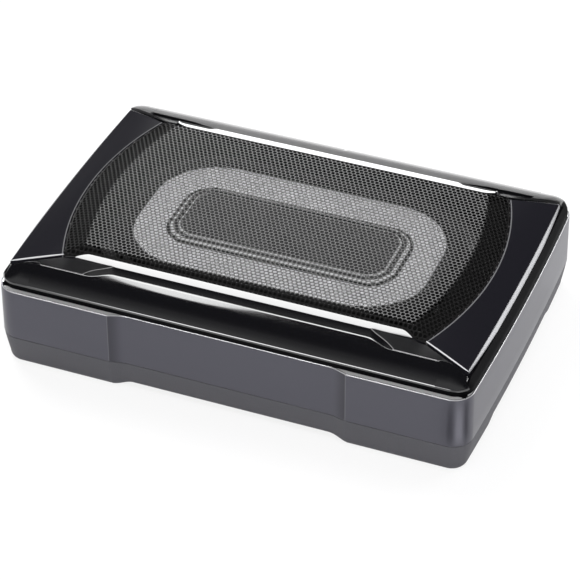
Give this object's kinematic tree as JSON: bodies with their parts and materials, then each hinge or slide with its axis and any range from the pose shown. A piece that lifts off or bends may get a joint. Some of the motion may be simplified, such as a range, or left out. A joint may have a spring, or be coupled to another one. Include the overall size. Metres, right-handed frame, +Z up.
{
  "type": "powered car subwoofer",
  "caption": "Compact under-seat powered subwoofer: cast case, black top frame, perforated grille over an oval driver, built-in amplifier and rear terminals.",
  "frame": {"origin": "centre of the underside, on the plane of the corner pads", "axes": "+X to the right along the long side seen from the front, +Y to the rear with the terminals, +Z up through the grille"},
  "size_m": [0.28, 0.19, 0.07],
  "materials": {
    "housing": "satin metallic paint on die-cast aluminium",
    "base": "fine matte powder coat",
    "insert": "turned",
    "frame_black": "piano black",
    "cap_satin": "satin dark grey",
    "grille": "matte black powder coat",
    "foam": "closed-cell foam",
    "basket": "black powder coat",
    "rubber": "matte rubber",
    "cone": "silver grey",
    "cap": "dark grey satin",
    "former": "amber film",
    "copper": "enamelled copper wire",
    "spider": "woven",
    "steel": "zinc plated",
    "ferrite": "ferrite",
    "board": "solder resist",
    "plastic_black": "moulded",
    "heat_sink": "extruded",
    "white": "moulded",
    "red": "moulded",
    "pin": "plated contact",
    "fuse": "translucent moulded",
    "lamp": "tinted lens",
    "can": "sleeved can",
    "screw": "black zinc",
    "wire": "insulated lead"
  },
  "bodies": {
    "case": {"main_housing": "housing", "base_cover": "base", "bracket_inserts": "insert", "top_frame": "frame_black", "side_cap_right": "cap_satin", "side_cap_left": "cap_satin", "grille": "grille", "grille_gasket": "foam", "woofer_gasket": "foam", "woofer_basket": "basket", "surround": "rubber", "spider": "spider", "top_plate": "steel", "magnet": "ferrite", "yoke": "steel", "woofer_terminals": "plastic_black", "speaker_wires": "wire", "circuit_board": "board", "board_standoffs": "insert", "heat_sink": "heat_sink", "power_transistors": "plastic_black", "toroid_core": "ferrite", "toroid_winding": "copper", "capacitors": "can", "driver_chips": "plastic_black", "terminal_panel": "plastic_black", "rca_block": "plastic_black", "rca_shell_left": "steel", "rca_shell_right": "steel", "rca_insulator_left": "white", "rca_insulator_right": "red", "rca_contacts": "pin", "speaker_socket": "plastic_black", "speaker_pins": "pin", "power_socket": "plastic_black", "power_pins": "pin", "fuse_holder": "plastic_black", "level_pot": "plastic_black", "lowpass_pot": "plastic_black", "phase_switch_body": "plastic_black", "power_lamp": "lamp", "base_screws": "screw", "frame_screws": "screw", "woofer_screws": "screw", "board_screws": "screw", "panel_screws": "screw", "transistor_screws": "screw"},
    "diaphragm": {"cone": "cone", "centre_cap": "cap", "voice_coil_former": "former", "voice_coil": "copper"},
    "level_control": {"level_knob": "plastic_black", "level_shaft": "steel"},
    "lowpass_control": {"lowpass_knob": "plastic_black", "lowpass_shaft": "steel"},
    "phase_slider": {"phase_switch_slider": "plastic_black"},
    "fuse": {"fuse_body": "fuse", "fuse_blades": "pin"}
  },
  "joints": [
    {"name": "cone_stroke", "type": "slide", "parent": "case", "child": "diaphragm", "axis": [0, 0, 1], "range_m": [-0.004, 0.004], "stiffness_N_per_m": 2500, "deforming": ["surround", "spider"]},
    {"name": "level_turn", "type": "hinge", "parent": "case", "child": "level_control", "pos_m": [-0.029, 0.085, 0.041], "axis": [0, 1, 0], "range_deg": [-150, 150]},
    {"name": "lowpass_turn", "type": "hinge", "parent": "case", "child": "lowpass_control", "pos_m": [-0.008, 0.085, 0.041], "axis": [0, 1, 0], "range_deg": [-150, 150]},
    {"name": "phase_slide", "type": "slide", "parent": "case", "child": "phase_slider", "axis": [1, 0, 0], "range_m": [0, 0.003]},
    {"name": "fuse_pull", "type": "slide", "parent": "case", "child": "fuse", "axis": [0, 1, 0], "range_m": [0, 0.015]}
  ]
}
